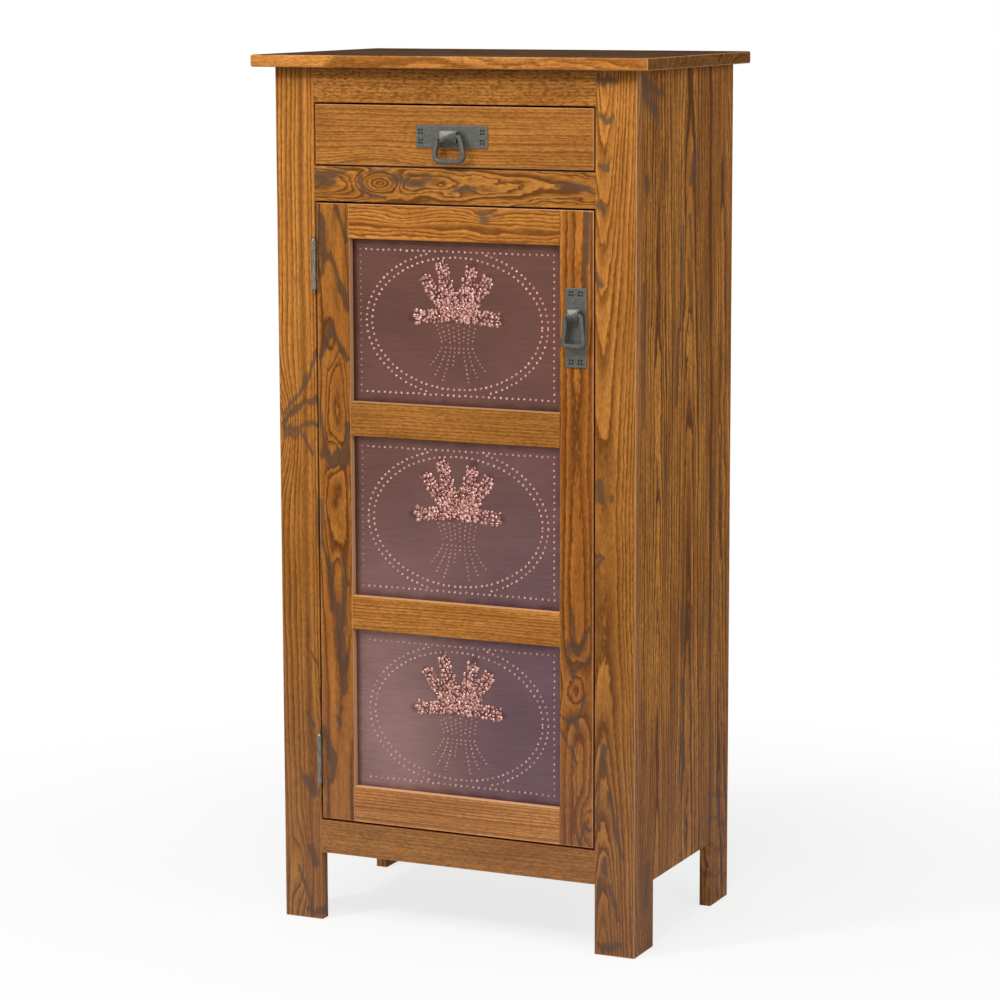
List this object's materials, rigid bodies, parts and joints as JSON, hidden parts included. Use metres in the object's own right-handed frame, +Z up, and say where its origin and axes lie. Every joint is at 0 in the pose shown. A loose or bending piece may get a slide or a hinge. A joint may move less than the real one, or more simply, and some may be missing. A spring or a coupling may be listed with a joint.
{
  "type": "pie safe",
  "caption": "Tall narrow oak pie safe: inset drawer over an inset door with pierced copper panels, on square legs.",
  "frame": {"origin": "on the floor, at the middle of the top board's outline seen from above", "axes": "+Z up, +Y from the door towards the back, +X to the right of someone facing the door"},
  "size_m": [0.667, 0.429, 1.384],
  "materials": {
    "oak": "satin varnished oak, warm medium brown",
    "drawer_wood": "pale unstained wood, satin",
    "copper": "copper sheet, aged to purplish brown, satin",
    "pewter": "hammered pewter grey",
    "hinge_metal": "dull bronzed steel",
    "catch": "brown plastic"
  },
  "bodies": {
    "case": {"left_side": "oak", "right_side": "oak", "left_front_stile": "oak", "right_front_stile": "oak", "top_rail": "oak", "middle_rail": "oak", "bottom_rail": "oak", "top_board": "oak", "back_panel": "drawer_wood", "bottom_board": "oak", "drawer_divider": "drawer_wood", "left_drawer_guide": "drawer_wood", "right_drawer_guide": "drawer_wood", "left_drawer_kicker": "drawer_wood", "right_drawer_kicker": "drawer_wood", "front_stretcher": "drawer_wood", "back_stretcher": "drawer_wood", "drawer_stops": "drawer_wood", "door_stop": "oak", "upper_shelf": "oak", "lower_shelf": "oak", "left_upper_shelf_cleat": "oak", "right_upper_shelf_cleat": "oak", "left_lower_shelf_cleat": "oak", "right_lower_shelf_cleat": "oak", "magnetic_catch": "catch", "case_hinge_leaves": "hinge_metal", "hinge_pins": "hinge_metal"},
    "door": {"door_hinge_stile": "oak", "door_latch_stile": "oak", "door_top_rail": "oak", "door_upper_rail": "oak", "door_lower_rail": "oak", "door_bottom_rail": "oak", "top_copper_panel": "copper", "middle_copper_panel": "copper", "bottom_copper_panel": "copper", "top_panel_beads": "oak", "middle_panel_beads": "oak", "bottom_panel_beads": "oak", "door_hinge_leaves": "hinge_metal", "door_strike_plate": "hinge_metal", "door_pull_plate": "pewter", "door_pull_boss": "pewter", "door_pull_screw": "hinge_metal"},
    "door_bail": {"door_pull_bail": "pewter"},
    "drawer": {"drawer_front": "oak", "drawer_left_side": "drawer_wood", "drawer_right_side": "drawer_wood", "drawer_back": "drawer_wood", "drawer_bottom": "drawer_wood", "drawer_pull_plate": "pewter", "drawer_pull_boss": "pewter", "drawer_pull_screw": "hinge_metal"},
    "drawer_bail": {"drawer_pull_bail": "pewter"}
  },
  "joints": [
    {"name": "drawer_slide", "type": "slide", "parent": "case", "child": "drawer", "axis": [0, -1, 0], "range_m": [0, 0.28]},
    {"name": "door_swing", "type": "hinge", "parent": "case", "child": "door", "pos_m": [-0.23845, -0.19165, 0.66175], "axis": [0, 0, -1], "range_deg": [0, 175]},
    {"name": "drawer_bail_swing", "type": "hinge", "parent": "drawer", "child": "drawer_bail", "pos_m": [0, -0.2, 1.2615], "axis": [-1, 0, 0], "range_deg": [-6, 175]},
    {"name": "door_bail_swing", "type": "hinge", "parent": "door", "child": "door_bail", "pos_m": [0.20705, -0.2, 0.9965], "axis": [-1, 0, 0], "range_deg": [-6, 175]}
  ]
}
